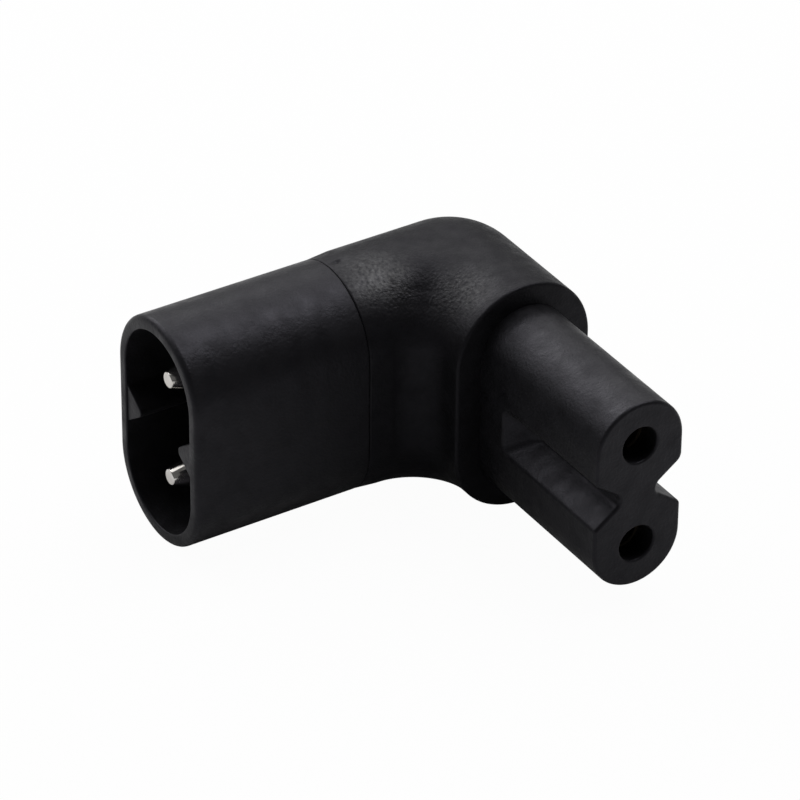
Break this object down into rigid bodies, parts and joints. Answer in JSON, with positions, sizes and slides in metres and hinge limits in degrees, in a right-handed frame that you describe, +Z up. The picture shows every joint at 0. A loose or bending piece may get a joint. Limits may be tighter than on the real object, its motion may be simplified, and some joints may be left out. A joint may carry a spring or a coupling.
{
  "type": "figure-eight power connector",
  "caption": "Right-angle mains adapter: a shrouded pin inlet on one leg, a notched figure-eight connector nose on the other, joined by a black moulded elbow.",
  "frame": {"origin": "under the middle of the adapter's box, level with its lowest point", "axes": "+Z up along the line of the poles; the inlet's mouth faces -X and the connector nose faces -Y"},
  "size_m": [0.0316, 0.031, 0.0192],
  "materials": {
    "shroud_plastic": "satin black, moulded",
    "nose_plastic": "satin black, moulded",
    "elbow_plastic": "black, moulded over, fine spark-eroded grain",
    "pin_plating": "turned brass, nickel plated",
    "contact_brass": "rolled strip",
    "wire_copper": "drawn flat copper"
  },
  "bodies": {
    "root": {"inlet_shroud": "shroud_plastic", "inlet_pin_upper": "pin_plating", "inlet_pin_lower": "pin_plating", "elbow_overmould": "elbow_plastic", "connector_nose": "nose_plastic", "contact_sleeve_upper": "contact_brass", "contact_sleeve_lower": "contact_brass", "link_wire_upper": "wire_copper", "link_wire_lower": "wire_copper"}
  },
  "joints": []
}
